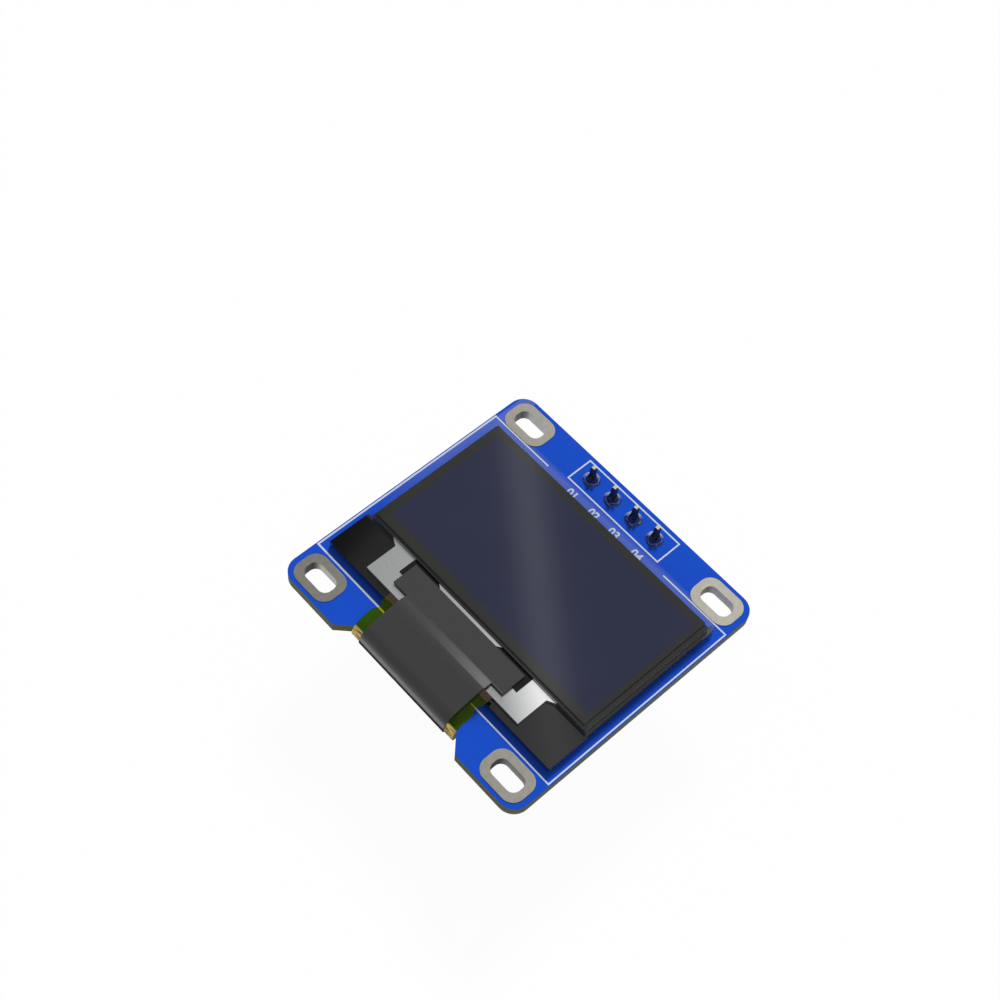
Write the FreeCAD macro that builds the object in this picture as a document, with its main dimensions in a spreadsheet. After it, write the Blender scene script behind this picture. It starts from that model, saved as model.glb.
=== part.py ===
import FreeCAD, Part
import os
import re
import Sketcher
from FreeCAD import Placement, Rotation, Vector

# Small OLED display module, 28.1 x 27.2 mm, lying face up.
# The origin is the centre of the four-slot pattern on the board's front face.
# X runs along the header, Y from the flex edge to the header, Z out of the display.

doc = FreeCAD.newDocument("oled_module")

# Driving sizes in millimetres, one cell each
SIZES = [
    # Circuit board and its notch for the flex
    ("board_width", 28.1),
    ("board_length", 27.2),
    ("board_thickness", 1.0),
    ("board_corner_radius", 1.5),
    ("notch_mouth", 14.8),
    ("notch_floor", 12.2),
    ("notch_depth", 1.3),
    # Mounting slots and their tinned rims
    ("slot_edge_x", 2.75),
    ("slot_edge_y", 1.95),
    ("slot_length", 3.0),
    ("slot_width", 1.7),
    ("slot_corner", 0.7),
    ("rim_lining", 0.05),
    ("rim_land_length", 4.4),
    ("rim_land_width", 3.15),
    ("rim_land_corner", 1.15),
    ("rim_proud", 0.05),
    # Pin header
    ("pin_pitch", 2.54),
    ("pin_edge", 1.74),
    ("pin_width", 0.64),
    ("pin_front_length", 3.0),
    ("pin_back_length", 6.0),
    ("pin_tip_length", 0.4),
    ("pin_tip_width", 0.42),
    ("pin_hole", 1.0),
    ("header_width", 2.54),
    ("header_height", 2.54),
    ("header_groove", 0.4),
    ("solder_diameter", 1.62),
    ("solder_fillet", 0.38),
    ("solder_bend_in", 0.23),
    ("solder_bend_up", 0.15),
    ("solder_height", 0.75),
    ("solder_collar", 0.03),
    # Display panel, glass by glass
    ("panel_width", 26.3),
    ("panel_low", 9.11),
    ("panel_high", 9.3),
    ("tape_thickness", 0.1),
    ("tape_margin", 1.15),
    ("rear_glass_thickness", 0.52),
    ("view_width", 23.5),
    ("view_low", 3.8),
    ("view_high", 8.0),
    ("seal_width", 0.8),
    ("layer_thickness", 0.05),
    ("cap_glass_width", 25.6),
    ("cap_glass_low", 5.0),
    ("cap_glass_thickness", 0.5),
    ("polariser_width", 24.8),
    ("polariser_low", 4.72),
    ("polariser_high", 8.84),
    ("polariser_thickness", 0.15),
    # Glass ledge below the cap glass
    ("coating_high", 5.25),
    ("coating_thickness", 0.03),
    # Sideways offset at which the driver, its plates and the flex were bonded
    ("bonding_shift", -0.17),
    ("driver_width", 14.06),
    ("driver_length", 1.57),
    ("driver_gap", 0.15),
    ("driver_height", 0.4),
    ("plate_reach", 9.06),
    ("plate_thickness", 0.3),
    ("plate_low", 8.47),
    ("plate_foot", 4.5),
    ("plate_flare", 0.75),
    ("plate_flare_length", 0.4),
    ("plate_clearance", 0.02),
    # Flex film and its dark cover
    ("film_thickness", 0.1),
    ("cover_thickness", 0.1),
    ("film_width", 12.16),
    ("cover_width", 10.16),
    ("head_width", 13.04),
    ("head_high", 5.38),
    ("head_length", 2.41),
    ("neck_length", 0.81),
    ("waist_place", 10.05),
    ("waist_half_length", 0.5),
    ("waist_depth", 0.35),
    ("crease_radius", 1.2),
    ("crest_radius", 2.2),
    ("rise_angle", 16.0),
    ("fall_angle", 12.0),
    ("fold_clearance", 0.3),
    ("tail_length", 2.8),
    ("cover_tail", 0.9),
    # Solder joints of the flex tail
    ("joint_pitch", 0.7),
    ("joint_width", 0.38),
    ("joint_on_film", 1.5),
    ("joint_on_board", 0.6),
    ("joint_height", 0.08),
    # Small chips on the back
    ("chip_length", 1.6),
    ("chip_width", 0.8),
    ("capacitor_height", 0.8),
    ("resistor_height", 0.45),
    ("terminal_length", 0.32),
    ("terminal_skin", 0.03),
    ("fillet_reach", 0.28),
    ("fillet_share", 0.6),
    ("chip_pitch", 2.5),
    ("capacitor_row_y", -5.6),
    ("resistor_row_y", 5.4),
    ("address_chip_x", 8.4),
    ("address_chip_y", -1.2),
    # Voltage regulator
    ("regulator_x", -8.2),
    ("regulator_y", 0.6),
    ("regulator_length", 2.9),
    ("regulator_width", 1.3),
    ("regulator_pitch", 1.9),
    ("regulator_lead_width", 0.42),
    # Diode
    ("diode_x", 8.4),
    ("diode_y", 2.4),
    ("diode_length", 2.7),
    ("diode_width", 1.6),
    ("diode_lead_width", 0.6),
    # Form that the two moulded bodies and their leads share
    ("moulded_height", 1.0),
    ("moulded_standoff", 0.08),
    ("moulded_draft", 0.12),
    ("lead_thickness", 0.12),
    ("lead_run", 0.22),
    ("lead_foot", 0.38),
]
PIN_COUNT = 4
JOINT_COUNT = 15
CAPACITOR_COUNT = 5
RESISTOR_COUNT = 5

# Directions round an arc, in degrees
RIGHTWARD = 0
UPWARD = 90
LEFTWARD = 180
DOWNWARD = 270
QUARTER_TURN = 90
HALF_TURN = 180
FULL_TURN = 360

# Distance under which two places count as the same
SAME_PLACE = 1e-6

sheet = doc.addObject("Spreadsheet::Sheet", "Sizes")
for row, (alias, size) in enumerate(SIZES, start=1):
    sheet.set(f"A{row}", alias)
    sheet.set(f"B{row}", str(size))
    sheet.setAlias(f"B{row}", alias)
doc.recompute()

# Levels above the board's front face
TAPE_TOP = "tape_thickness"
LEDGE = f"{TAPE_TOP} + rear_glass_thickness"
CAP_LEVEL = f"{LEDGE} + layer_thickness"
POLARISER_LEVEL = f"{CAP_LEVEL} + cap_glass_thickness"
COATING_TOP = f"{LEDGE} + coating_thickness"
FILM_MIDDLE = f"{COATING_TOP} + driver_height + film_thickness / 2"
BACK = "-board_thickness"

sub_parts = []


def formula(text):
    """Formula with each cell name led by the sheet's name."""
    return re.sub(r"\b([a-z]+(?:_[a-z]+)+)\b", r"Sizes.\1", text)


def value(text):
    """Number that a formula gives."""
    return float(sheet.evalExpression(text))


def bind(thing, size, text):
    thing.setExpression(size, formula(text))


def place(thing, x="0", y="0", z="0"):
    """Ties a sub-part's place to the sheet."""
    for axis, text in (("x", x), ("y", y), ("z", z)):
        bind(thing, f"Placement.Base.{axis}", text)


def new_body(label):
    body = doc.addObject("PartDesign::Body", label)
    body.Label = label
    body.AllowCompound = True
    sub_parts.append(body)
    return body


def new_sketch(body, name, role="XY_Plane", height="0"):
    """Sketch on one of the body's own planes, raised along that plane's normal."""
    sketch = body.newObject("Sketcher::SketchObject", name)
    plane = next(face for face in body.Origin.OriginFeatures if face.Role == role)
    sketch.AttachmentSupport = [(plane, "")]
    sketch.MapMode = "FlatFace"
    bind(sketch, "AttachmentOffset.Base.z", height)
    return sketch


def fix_size(sketch, constraint, text):
    number = sketch.addConstraint(constraint)
    bind(sketch, f"Constraints[{number}]", text)


def fix_point(sketch, curve, point, x, y):
    """Holds a curve's point at two formulas from the sketch origin."""
    for kind, text in (("DistanceX", x), ("DistanceY", y)):
        fix_size(sketch, Sketcher.Constraint(kind, -1, 1, curve, point, value(text)), text)


def add_polygon(sketch, corners):
    points = [Vector(value(x), value(y), 0) for x, y in corners]
    first = sketch.GeometryCount
    following = [(index + 1) % len(points) for index in range(len(points))]
    for start, end in enumerate(following):
        sketch.addGeometry(Part.LineSegment(points[start], points[end]))
    for index, end in enumerate(following):
        sketch.addConstraint(Sketcher.Constraint("Coincident", first + index, 2, first + end, 1))
        fix_point(sketch, first + index, 1, *corners[index])


def add_rectangle(sketch, left, right, low, high):
    add_polygon(sketch, [(left, low), (right, low), (right, high), (left, high)])


def add_circle(sketch, x, y, radius):
    centre = Vector(value(x), value(y), 0)
    curve = sketch.addGeometry(Part.Circle(centre, Vector(0, 0, 1), value(radius)))
    fix_point(sketch, curve, 3, x, y)
    fix_size(sketch, Sketcher.Constraint("Radius", curve, value(radius)), radius)


def add_arc(sketch, x, y, radius, start, end):
    """Arc between two angles in degrees, with its centre held."""
    centre = Vector(value(x), value(y), 0)
    circle = Part.Circle(centre, Vector(0, 0, 1), value(radius))
    to_radians = FreeCAD.Units.Quantity("1 deg").getValueAs("rad").Value
    curve = sketch.addGeometry(Part.ArcOfCircle(circle, start * to_radians, end * to_radians))
    fix_point(sketch, curve, 3, x, y)
    return curve


def add_rounded_rectangle(sketch, x, y, width, depth, radius):
    """Rectangle about a centre, its corners rounded by four equal arcs."""
    arcs = []
    for side_x, side_y, start in ((1, -1, DOWNWARD), (1, 1, RIGHTWARD),
                                  (-1, 1, UPWARD), (-1, -1, LEFTWARD)):
        centre_x = f"{x} + {side_x} * (({width}) / 2 - ({radius}))"
        centre_y = f"{y} + {side_y} * (({depth}) / 2 - ({radius}))"
        arcs.append(add_arc(sketch, centre_x, centre_y, radius, start, start + QUARTER_TURN))
    fix_size(sketch, Sketcher.Constraint("Radius", arcs[0], value(radius)), radius)
    for arc in arcs[1:]:
        sketch.addConstraint(Sketcher.Constraint("Equal", arcs[0], arc))
    for arc, following in zip(arcs, arcs[1:] + arcs[:1]):
        start = sketch.Geometry[arc].EndPoint
        end = sketch.Geometry[following].StartPoint
        line = sketch.addGeometry(Part.LineSegment(start, end))
        sketch.addConstraint(Sketcher.Constraint("Tangent", arc, 2, line, 1))
        sketch.addConstraint(Sketcher.Constraint("Tangent", line, 2, following, 1))


def finish_feature(body, feature):
    body.Tip = feature
    doc.recompute()
    if body.Shape.isNull() or not body.Shape.isValid():
        raise RuntimeError(f"{feature.Label} did not build: {feature.State}")
    return feature


def pad(body, sketch, name, length, both_ways=False):
    feature = body.newObject("PartDesign::Pad", name)
    feature.Profile = sketch
    feature.Midplane = both_ways
    bind(feature, "Length", length)
    return finish_feature(body, feature)


def cut_through(body, sketch, name, upward_only=False):
    """Pocket through everything, both ways from its sketch or only above it."""
    before = body.Shape.Volume
    feature = body.newObject("PartDesign::Pocket", name)
    feature.Profile = sketch
    feature.Type = "ThroughAll"
    feature.Midplane = not upward_only
    feature.Reversed = upward_only
    finish_feature(body, feature)
    if body.Shape.Volume >= before:
        raise RuntimeError(f"{name} cuts nothing")
    return feature


def round_upright_edges(body, name, radius, wanted):
    """Fillet on the upright edges whose place passes the test."""
    base = body.Tip
    edges = []
    for number, edge in enumerate(base.Shape.Edges, start=1):
        box = edge.BoundBox
        if box.XLength + box.YLength < SAME_PLACE and wanted(box.Center):
            edges.append(f"Edge{number}")
    feature = body.newObject("PartDesign::Fillet", name)
    feature.Base = (base, edges)
    bind(feature, "Radius", radius)
    return finish_feature(body, feature)


def square_loft(body, name, low_level, low_sides, high_level, high_sides):
    """Tapered block between two rectangles, each given as half width and half depth."""
    ends = []
    levels = (("Low", low_level, low_sides), ("High", high_level, high_sides))
    for end_name, level, (side, depth) in levels:
        sketch = new_sketch(body, f"{name}{end_name}", height=level)
        add_rectangle(sketch, f"-({side})", side, f"-({depth})", depth)
        ends.append(sketch)
    feature = body.newObject("PartDesign::AdditiveLoft", name)
    feature.Profile = ends[0]
    feature.Sections = [ends[1]]
    feature.Ruled = True
    return finish_feature(body, feature)


def sweep(body, name, profile, path):
    feature = body.newObject("PartDesign::AdditivePipe", name)
    feature.Profile = profile
    feature.Spine = (path, [f"Edge{number + 1}" for number in range(path.GeometryCount)])
    return finish_feature(body, feature)


def face_down(body, x, y):
    """Turns a sub-part over so that it stands on the board's back."""
    body.Placement = Placement(Vector(0, 0, 0), Rotation(Vector(1, 0, 0), HALF_TURN))
    place(body, x, y, BACK)


# Line of the header, a set distance in from the board's edge
PIN_ROW_Y = "board_length / 2 - pin_edge"


def pin_place(index):
    return f"pin_pitch * {index - (PIN_COUNT - 1) / 2}"


# Four corners of the slot pattern, as signs along X and Y
SLOT_CORNERS = [(-1, -1), (1, -1), (1, 1), (-1, 1)]


def slot_place(side_x, side_y):
    return (f"{side_x} * (board_width / 2 - slot_edge_x)",
            f"{side_y} * (board_length / 2 - slot_edge_y)")


def make_circuit_board():
    """Glass-fibre board with a chamfered notch, four slots and four pin holes."""
    body = new_body("circuit_board")
    outline = new_sketch(body, "BoardOutline", height=BACK)
    half_x = "board_width / 2"
    half_y = "board_length / 2"
    add_polygon(outline, [
        (f"-{half_x}", f"-{half_y}"),
        ("-notch_mouth / 2", f"-{half_y}"),
        ("-notch_floor / 2", f"-{half_y} + notch_depth"),
        ("notch_floor / 2", f"-{half_y} + notch_depth"),
        ("notch_mouth / 2", f"-{half_y}"),
        (half_x, f"-{half_y}"),
        (half_x, half_y),
        (f"-{half_x}", half_y),
    ])
    pad(body, outline, "BoardPlate", "board_thickness")
    corner_x = value(half_x)
    round_upright_edges(body, "BoardCorners", "board_corner_radius",
                        lambda middle: abs(abs(middle.x) - corner_x) < SAME_PLACE)
    slots = new_sketch(body, "BoardSlots")
    for side_x, side_y in SLOT_CORNERS:
        x, y = slot_place(side_x, side_y)
        add_rounded_rectangle(slots, x, y, "slot_length + 2 * rim_lining",
                              "slot_width + 2 * rim_lining", "slot_corner + rim_lining")
    cut_through(body, slots, "BoardSlotCuts")
    holes = new_sketch(body, "PinHoles")
    for index in range(PIN_COUNT):
        add_circle(holes, pin_place(index), PIN_ROW_Y, "pin_hole / 2")
    cut_through(body, holes, "PinHoleCuts")


def make_slot_rim(number, side_x, side_y):
    """Tinned land on both faces, joined through the slot by its plated wall."""
    body = new_body(f"slot_rim_{number}")
    wall = new_sketch(body, f"RimWall{number}", height=BACK)
    add_rounded_rectangle(wall, "0", "0", "slot_length + 2 * rim_lining",
                          "slot_width + 2 * rim_lining", "slot_corner + rim_lining")
    pad(body, wall, f"RimWallPad{number}", "board_thickness")
    for face, height in (("Front", "0"), ("Back", f"{BACK} - rim_proud")):
        land = new_sketch(body, f"Rim{face}{number}", height=height)
        add_rounded_rectangle(land, "0", "0", "rim_land_length", "rim_land_width", "rim_land_corner")
        pad(body, land, f"Rim{face}Pad{number}", "rim_proud")
    opening = new_sketch(body, f"RimOpening{number}")
    add_rounded_rectangle(opening, "0", "0", "slot_length", "slot_width", "slot_corner")
    cut_through(body, opening, f"RimOpeningCut{number}")
    place(body, *slot_place(side_x, side_y))


def make_header_body():
    """Black moulded strip under the board, grooved between its four cells."""
    body = new_body("header_body")
    outline = new_sketch(body, "HeaderOutline", height=f"{BACK} - header_height")
    side = "header_width / 2"
    lower = []
    for index in range(PIN_COUNT):
        left = f"{pin_place(index)} - pin_pitch / 2"
        right = f"{pin_place(index)} + pin_pitch / 2"
        lower += [(left, f"-{side} + header_groove"), (f"{left} + header_groove", f"-{side}"),
                  (f"{right} - header_groove", f"-{side}")]
    lower.append((right, f"-{side} + header_groove"))
    upper = [(x, f"-({y})") for x, y in reversed(lower)]
    add_polygon(outline, lower + upper)
    pad(body, outline, "HeaderStrip", "header_height")
    holes = new_sketch(body, "HeaderHoles", height=BACK)
    for index in range(PIN_COUNT):
        middle = pin_place(index)
        add_rectangle(holes, f"{middle} - pin_width / 2", f"{middle} + pin_width / 2",
                      "-pin_width / 2", "pin_width / 2")
    cut_through(body, holes, "HeaderHoleCuts")
    place(body, y=PIN_ROW_Y)


def make_header_pin(index):
    """Square pin with a tapered point at each end."""
    body = new_body(f"header_pin_{index + 1}")
    low = f"{BACK} - header_height - pin_back_length"
    high = f"pin_front_length + {BACK}"
    shaft = new_sketch(body, f"PinShaft{index}", height=f"{low} + pin_tip_length")
    add_rectangle(shaft, "-pin_width / 2", "pin_width / 2", "-pin_width / 2", "pin_width / 2")
    pad(body, shaft, f"PinShaftPad{index}",
        "pin_front_length + header_height + pin_back_length - 2 * pin_tip_length")
    wide = ("pin_width / 2", "pin_width / 2")
    narrow = ("pin_tip_width / 2", "pin_tip_width / 2")
    square_loft(body, f"PinFrontTip{index}", f"{high} - pin_tip_length", wide, high, narrow)
    square_loft(body, f"PinBackTip{index}", low, narrow, f"{low} + pin_tip_length", wide)
    place(body, pin_place(index), PIN_ROW_Y)


def make_pin_solder(index):
    """Solder that fills the pin's hole and climbs the pin on the front face."""
    body = new_body(f"pin_solder_{index + 1}")
    profile = new_sketch(body, f"SolderProfile{index}", "XZ_Plane")
    add_polygon(profile, [
        ("0", BACK),
        ("pin_hole / 2", BACK),
        ("pin_hole / 2", "0"),
        ("solder_diameter / 2", "0"),
        ("solder_diameter / 2 - solder_bend_in", "solder_bend_up"),
        ("solder_diameter / 2 - solder_fillet", "solder_fillet"),
        ("pin_width / 2 + solder_collar", "solder_height"),
        ("0", "solder_height"),
    ])
    cone = body.newObject("PartDesign::Revolution", f"SolderCone{index}")
    cone.Profile = profile
    cone.ReferenceAxis = (profile, ["V_Axis"])
    cone.Angle = FULL_TURN
    finish_feature(body, cone)
    hole = new_sketch(body, f"SolderHole{index}")
    add_rectangle(hole, "-pin_width / 2", "pin_width / 2", "-pin_width / 2", "pin_width / 2")
    cut_through(body, hole, f"SolderHoleCut{index}")
    place(body, pin_place(index), PIN_ROW_Y)


def make_plate(label, half_width, low, high, level, thickness):
    """Flat rectangular layer of the panel stack."""
    body = new_body(label)
    outline = new_sketch(body, f"{label}_outline")
    add_rectangle(outline, f"-({half_width})", half_width, low, high)
    pad(body, outline, f"{label}_plate", thickness)
    place(body, z=level)
    return body


def make_panel():
    """Tape, rear glass, sealed light-emitting layer, cap glass and polariser."""
    side = "panel_width / 2"
    make_plate("panel_tape", f"{side} - tape_margin", "-panel_low + tape_margin",
               "panel_high - tape_margin", "0", "tape_thickness")
    make_plate("rear_glass", side, "-panel_low", "panel_high", TAPE_TOP, "rear_glass_thickness")
    make_plate("oled_layer", "view_width / 2", "-view_low", "view_high", LEDGE, "layer_thickness")
    seal = make_plate("edge_seal", "view_width / 2 + seal_width", "-view_low - seal_width",
                      "view_high + seal_width", LEDGE, "layer_thickness")
    window = new_sketch(seal, "SealWindow")
    add_rectangle(window, "-view_width / 2", "view_width / 2", "-view_low", "view_high")
    cut_through(seal, window, "SealWindowCut")
    make_plate("cap_glass", "cap_glass_width / 2", "-cap_glass_low", "panel_high",
               CAP_LEVEL, "cap_glass_thickness")
    make_plate("polariser", "polariser_width / 2", "-polariser_low", "polariser_high",
               POLARISER_LEVEL, "polariser_thickness")
    make_plate("ledge_coating", side, "-panel_low", "-coating_high", LEDGE, "coating_thickness")
    driver = make_plate("driver_block", "driver_width / 2",
                        "-cap_glass_low - driver_gap - driver_length",
                        "-cap_glass_low - driver_gap", COATING_TOP, "driver_height")
    place(driver, x="bonding_shift", z=COATING_TOP)


def make_conductor_plate(label, side):
    """Silver plate on the ledge, flared at the cap glass, its foot under the flex head."""
    body = new_body(label)
    inner = "driver_width / 2 + plate_clearance"
    step = "-cap_glass_low - driver_gap - driver_length - plate_clearance"
    high = "-cap_glass_low - plate_clearance"
    outline = new_sketch(body, f"{label}_outline")
    corners = [
        (inner, high),
        (inner, step),
        ("plate_foot", step),
        ("plate_foot", "-plate_low"),
        ("plate_reach", "-plate_low"),
        ("plate_reach", f"{high} - plate_flare_length"),
        ("plate_reach + plate_flare", high),
    ]
    add_polygon(outline, [(f"{side} * ({x})", y) for x, y in corners])
    pad(body, outline, f"{label}_plate", "plate_thickness")
    place(body, x="bonding_shift", z=COATING_TOP)


# Flex middle line, in the YZ plane: level over the ledge, up over a low crest, down a
# slope, round the notch edge and back under the board, where the tuck ends at the edge
TUCK_RADIUS = "(fold_clearance + film_thickness / 2)"
TUCK_Y = "-board_length / 2 + notch_depth"
REACH = f"{TUCK_Y} - {TUCK_RADIUS}"
TURN_LEVEL = f"{BACK} - film_thickness / 2 + {TUCK_RADIUS}"
CREASE_Y = "-head_high - head_length"
CREST_Y = f"{CREASE_Y} - (crease_radius + crest_radius) * sin(rise_angle)"
CREST_Z = (f"{FILM_MIDDLE} + crease_radius * (1 - cos(rise_angle))"
           " - crest_radius * cos(rise_angle)")
SLOPE_Y = f"({CREST_Y} - crest_radius * sin(fall_angle))"
SLOPE_Z = f"({CREST_Z} + crest_radius * cos(fall_angle))"
# The fold's arc touches both the slope and the upright through the fold's reach
FOLD_RADIUS = (f"((cos(fall_angle) * ({SLOPE_Z} - ({TURN_LEVEL}))"
               f" - sin(fall_angle) * ({SLOPE_Y} - ({REACH}))) / (1 - sin(fall_angle)))")
BONDED = "(film_thickness + cover_thickness) / 2"


def flex_path(body, name, rise, tail_length):
    """Middle line of one flex layer, a given rise outside the film's own middle line."""
    path = new_sketch(body, name, "YZ_Plane")
    level = f"{FILM_MIDDLE} + {rise}"
    up = value("rise_angle")
    down = value("fall_angle")
    head = path.addGeometry(Part.LineSegment(Vector(value("-head_high"), value(level), 0),
                                             Vector(value(CREASE_Y), value(level), 0)))
    crease = add_arc(path, CREASE_Y, f"{FILM_MIDDLE} + crease_radius",
                     f"crease_radius - {rise}", DOWNWARD - up, DOWNWARD)
    crest = add_arc(path, CREST_Y, CREST_Z, f"crest_radius + {rise}",
                    UPWARD - up, UPWARD + down)
    fold = add_arc(path, f"{REACH} + {FOLD_RADIUS}", TURN_LEVEL, f"{FOLD_RADIUS} + {rise}",
                   UPWARD + down, LEFTWARD)
    tuck = add_arc(path, TUCK_Y, TURN_LEVEL, f"{TUCK_RADIUS} + {rise}", LEFTWARD, DOWNWARD)
    slope = path.addGeometry(Part.LineSegment(path.Geometry[crest].EndPoint,
                                              path.Geometry[fold].StartPoint))
    tail_end = f"{TUCK_Y} + {tail_length}"
    tail_level = f"{BACK} - film_thickness / 2 - {rise}"
    tail = path.addGeometry(Part.LineSegment(path.Geometry[tuck].EndPoint,
                                             Vector(value(tail_end), value(tail_level), 0)))
    fix_point(path, head, 1, "-head_high", level)
    crease_end = f"{CREASE_Y} - (crease_radius - {rise}) * sin(rise_angle)"
    for kind, curve, point, text in (("Radius", crease, None, f"crease_radius - {rise}"),
                                     ("DistanceX", crease, 1, crease_end),
                                     ("Radius", fold, None, f"{FOLD_RADIUS} + {rise}"),
                                     ("DistanceY", fold, 2, TURN_LEVEL)):
        ends = (curve, value(text)) if point is None else (-1, 1, curve, point, value(text))
        fix_size(path, Sketcher.Constraint(kind, *ends), text)
    fix_point(path, tail, 2, tail_end, tail_level)
    for kind, first, first_point, second, second_point in (
            ("Tangent", head, 2, crease, 2), ("Coincident", crease, 1, crest, 1),
            ("Tangent", crest, 2, slope, 1), ("Tangent", slope, 2, fold, 1),
            ("Coincident", fold, 2, tuck, 1), ("Tangent", tuck, 2, tail, 1)):
        path.addConstraint(Sketcher.Constraint(kind, first, first_point, second, second_point))
    return path


def make_flex_layer(label, width, thickness, rise, tail_length):
    """One layer of the flex: a strip swept along its path, with the wide head on the ledge."""
    body = new_body(label)
    path = flex_path(body, f"{label}_path", rise, tail_length)
    low = f"{FILM_MIDDLE} + {rise} - {thickness} / 2"
    profile = new_sketch(body, f"{label}_profile", "XZ_Plane", "head_high")
    add_rectangle(profile, f"-{width} / 2", f"{width} / 2", low, f"{low} + {thickness}")
    sweep(body, f"{label}_strip", profile, path)
    head = new_sketch(body, f"{label}_head", height=low)
    add_rectangle(head, "bonding_shift - head_width / 2", "bonding_shift + head_width / 2",
                  CREASE_Y, "-head_high")
    pad(body, head, f"{label}_head_pad", thickness)
    place(body)
    return body


def make_flex():
    """Amber film with a neck and a waist, and the dark cover bonded on it."""
    film = make_flex_layer("flex_film", "film_width", "film_thickness", "0", "tail_length")
    trim = new_sketch(film, "FilmTrim")
    for side in (-1, 1):
        beyond = f"{side} * (film_width + head_width) / 2"
        add_rectangle(trim, f"{side} * cover_width / 2", beyond,
                      f"{CREASE_Y} - neck_length", CREASE_Y)
        add_polygon(trim, [
            (beyond, "-waist_place + waist_half_length"),
            (f"{side} * film_width / 2", "-waist_place + waist_half_length"),
            (f"{side} * (film_width / 2 - waist_depth)", "-waist_place"),
            (f"{side} * film_width / 2", "-waist_place - waist_half_length"),
            (beyond, "-waist_place - waist_half_length"),
        ])
    cut_through(film, trim, "FilmTrimCut", upward_only=True)
    make_flex_layer("flex_cover", "cover_width", "cover_thickness", BONDED, "cover_tail")


def make_flex_solder():
    """Row of solder joints that tie the flex tail to the board's back."""
    body = new_body("flex_solder")
    tail_end = f"{TUCK_Y} + tail_length"
    film_face = f"{BACK} - film_thickness"
    corners = [
        (f"{tail_end} + joint_on_board", BACK),
        (tail_end, BACK),
        (tail_end, film_face),
        (f"{tail_end} - joint_on_film", film_face),
        (f"{tail_end} - joint_on_film + joint_height", f"{film_face} - joint_height"),
        (f"{tail_end} + joint_height", f"{film_face} - joint_height"),
    ]
    for index in range(JOINT_COUNT):
        place_x = f"joint_pitch * {index - (JOINT_COUNT - 1) // 2}"
        profile = new_sketch(body, f"JointProfile{index}", "YZ_Plane", place_x)
        add_polygon(profile, corners)
        pad(body, profile, f"Joint{index}", "joint_width", both_ways=True)
    place(body)


def make_box(name, x, y, z, length, width, height):
    """Block centred on X and Y, standing on Z."""
    block = doc.addObject("Part::Box", name)
    bind(block, "Length", length)
    bind(block, "Width", width)
    bind(block, "Height", height)
    place(block, f"{x} - ({length}) / 2", f"{y} - ({width}) / 2", z)
    return block


def make_chip(label, x, y, height):
    """Ceramic block on the back, with a plated cup on each end and two solder fillets."""
    block = make_box(label, x, y, f"{BACK} - terminal_skin - {height}",
                     "chip_length", "chip_width", height)
    block.Label = label
    sub_parts.append(block)
    outer = make_box(f"{label}_outer", x, y, f"{BACK} - 2 * terminal_skin - {height}",
                     "chip_length + 2 * terminal_skin", "chip_width + 2 * terminal_skin",
                     f"{height} + 2 * terminal_skin")
    core = make_box(f"{label}_core", x, y, f"{BACK} - terminal_skin - {height}",
                    "chip_length", "chip_width", height)
    beyond = "2 * terminal_skin"
    gap = make_box(f"{label}_gap", x, y, f"{BACK} - terminal_skin - {beyond} - {height}",
                   "chip_length - 2 * terminal_length", f"chip_width + 2 * {beyond}",
                   f"{height} + 2 * {beyond}")
    tools = doc.addObject("Part::MultiFuse", f"{label}_tools")
    tools.Shapes = [core, gap]
    ends = doc.addObject("Part::Cut", f"{label}_ends")
    ends.Base = outer
    ends.Tool = tools
    fillets = []
    for side in (-1, 1):
        fillet = doc.addObject("Part::Wedge", f"{label}_solder_{'left' if side < 0 else 'right'}")
        fillet.Xmin = 0
        fillet.Ymin = 0
        fillet.Zmin = 0
        fillet.X2min = 0
        fillet.Z2min = 0
        bind(fillet, "Xmax", "fillet_reach")
        bind(fillet, "Ymax", f"{height} * fillet_share")
        bind(fillet, "Zmax", "chip_width")
        bind(fillet, "X2max", "terminal_skin")
        bind(fillet, "Z2max", "chip_width")
        turn = Rotation(Vector(1, 0, 0), -QUARTER_TURN)
        if side < 0:
            turn = Rotation(Vector(0, 0, 1), HALF_TURN) * turn
        fillet.Placement = Placement(Vector(0, 0, 0), turn)
        place(fillet, f"{x} + {side} * (chip_length / 2 + terminal_skin)",
              f"{y} - {side} * chip_width / 2", BACK)
        fillets.append(fillet)
    return ends, fillets


def make_group(label, members):
    group = doc.addObject("Part::Compound", label)
    group.Label = label
    group.Links = members
    sub_parts.append(group)


def make_chips():
    """Row of capacitors above the flex joints, row of resistors below the header."""
    solder = []
    for kind, count, row_y, height in (("capacitor", CAPACITOR_COUNT, "capacitor_row_y", "capacitor_height"),
                                       ("resistor", RESISTOR_COUNT, "resistor_row_y", "resistor_height")):
        ends = []
        for index in range(count):
            x = f"chip_pitch * {index - (count - 1) / 2}"
            y = row_y
            if kind == "resistor" and index == count - 1:
                x = "address_chip_x"
                y = "address_chip_y"
            cups, fillets = make_chip(f"{kind}_{index + 1}", x, y, height)
            ends.append(cups)
            solder += fillets
        make_group(f"{kind}_ends", ends)
    make_group("chip_solder", solder)


def make_moulded_body(label, x, y, length, width):
    """Moulded block, widest where its leads come out, drafted above and below."""
    body = new_body(label)
    middle = ("moulded_standoff + moulded_height / 2", (f"{length} / 2", f"{width} / 2"))
    drawn_in = (f"{length} / 2 - moulded_draft", f"{width} / 2 - moulded_draft")
    square_loft(body, f"{label}_lower", "moulded_standoff", drawn_in, *middle)
    square_loft(body, f"{label}_upper", *middle, "moulded_standoff + moulded_height", drawn_in)
    face_down(body, x, y)


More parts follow.
